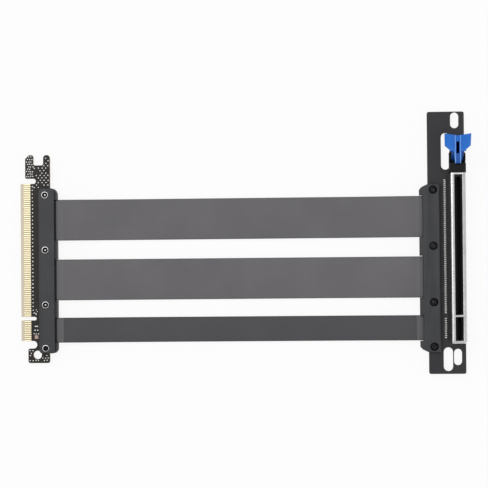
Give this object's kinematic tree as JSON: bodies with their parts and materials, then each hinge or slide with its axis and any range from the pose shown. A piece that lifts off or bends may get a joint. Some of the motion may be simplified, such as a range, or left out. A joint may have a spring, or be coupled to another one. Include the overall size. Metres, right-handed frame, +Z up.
{
  "type": "gpu riser cable",
  "caption": "Flat riser cable for a graphics card: edge board with a contact tongue, three ribbons in clamp housings, and a board with a shielded card socket and a pivoting latch.",
  "frame": {"origin": "middle of the footprint of the whole part, on the surface that it lies on", "axes": "+X along the ribbons from the edge board to the socket, +Y along the contact rows from the key to the latch, +Z up out of the socket mouth"},
  "size_m": [0.2392, 0.1384, 0.0182],
  "materials": {
    "edge_laminate": "brown-black solder mask over laminate, gold contact fingers",
    "socket_laminate": "matte black solder mask over laminate, cream cut edges",
    "housing_plastic": "fine matte moulded black",
    "ribbon_sleeve": "matte dark grey sleeve",
    "screw_steel": "black oxide",
    "insert_metal": "nickel plated",
    "insulator_plastic": "moulded black",
    "shield_steel": "bright folded sheet steel",
    "latch_plastic": "blue moulded, satin"
  },
  "bodies": {
    "riser": {"edge_board": "edge_laminate", "socket_board": "socket_laminate", "edge_upper_shell": "housing_plastic", "edge_lower_shell": "housing_plastic", "socket_upper_shell": "housing_plastic", "socket_lower_shell": "housing_plastic", "ribbon_1": "ribbon_sleeve", "ribbon_2": "ribbon_sleeve", "ribbon_3": "ribbon_sleeve", "socket_body": "insulator_plastic", "socket_shield": "shield_steel", "edge_screw_1": "screw_steel", "edge_screw_2": "screw_steel", "edge_screw_3": "screw_steel", "edge_screw_4": "screw_steel", "edge_insert_1": "insert_metal", "edge_insert_2": "insert_metal", "edge_insert_3": "insert_metal", "edge_insert_4": "insert_metal", "socket_screw_1": "screw_steel", "socket_screw_2": "screw_steel", "socket_screw_3": "screw_steel", "socket_screw_4": "screw_steel", "socket_insert_1": "insert_metal", "socket_insert_2": "insert_metal", "socket_insert_3": "insert_metal", "socket_insert_4": "insert_metal"},
    "latch": {"latch": "latch_plastic"}
  },
  "joints": [
    {"name": "latch_pivot", "type": "hinge", "parent": "riser", "child": "latch", "pos_m": [0.11263, 0.04475, 0.00765], "axis": [-1, 0, 0], "range_deg": [0, 28]}
  ]
}
